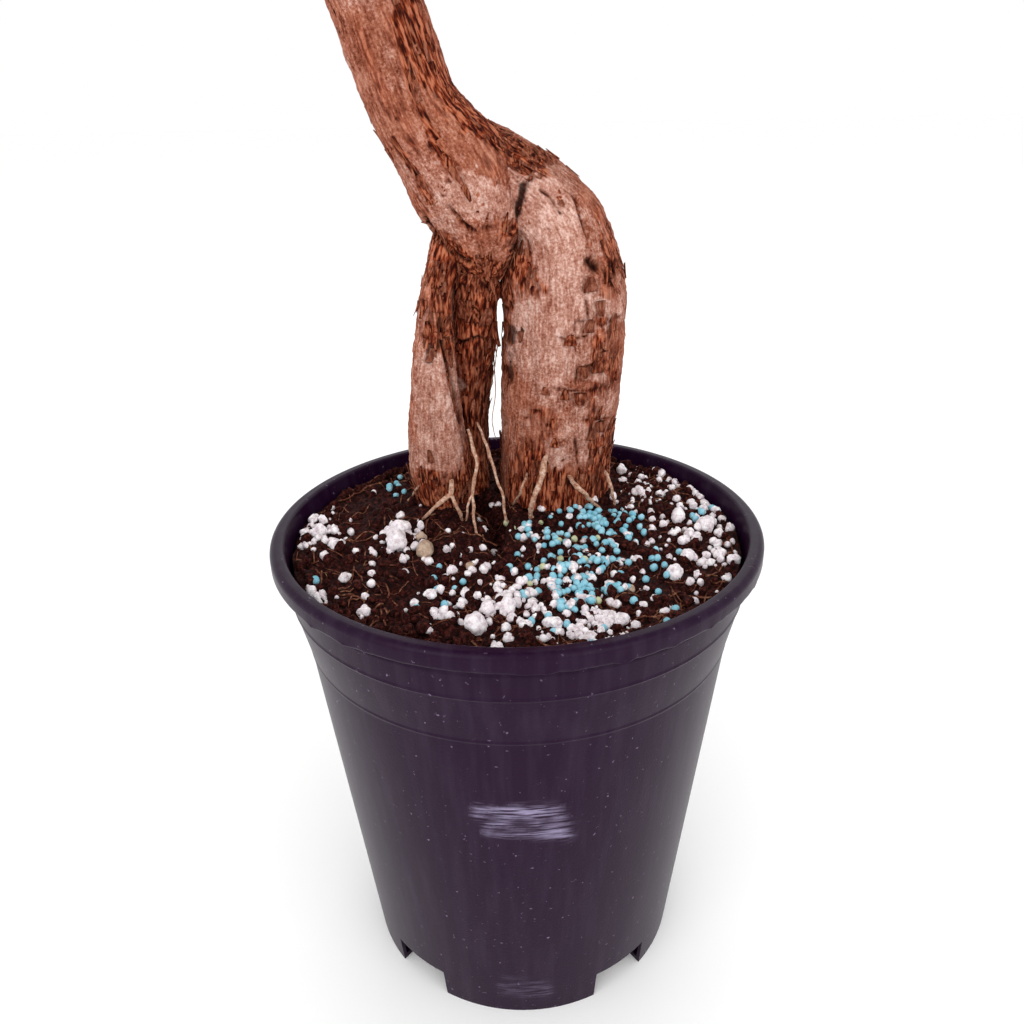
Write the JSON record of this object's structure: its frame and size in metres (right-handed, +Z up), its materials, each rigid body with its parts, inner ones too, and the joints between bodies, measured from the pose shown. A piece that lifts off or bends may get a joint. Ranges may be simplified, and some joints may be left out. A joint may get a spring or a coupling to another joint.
{
  "type": "potted queensland bottle tree",
  "caption": "Young bottle tree with a curved trunk on exposed stilt-like root legs, rising boughs and narrow leaves, standing in a tapered plastic nursery pot of peat and perlite.",
  "frame": {"origin": "middle of the pot's flat underside, on the surface the pot stands on", "axes": "+Z up through the crown, -Y towards the viewer of the picture, +X to the viewer's right"},
  "size_m": [0.3317, 0.3405, 0.7298],
  "materials": {
    "pot_plastic": "satin",
    "soil_mix": "matte",
    "bark": "matte",
    "foliage": "satin"
  },
  "bodies": {
    "root": {"pot": "pot_plastic", "soil": "soil_mix", "trunk": "bark", "root_leg_right": "bark", "root_leg_left_front": "bark", "root_leg_left_back": "bark", "bough_top": "bark", "bough_left": "bark", "bough_right": "bark", "bough_front": "bark", "bough_back": "bark", "leaves_top": "foliage", "leaves_left": "foliage", "leaves_right": "foliage", "leaves_front": "foliage", "leaves_back": "foliage"}
  },
  "joints": []
}
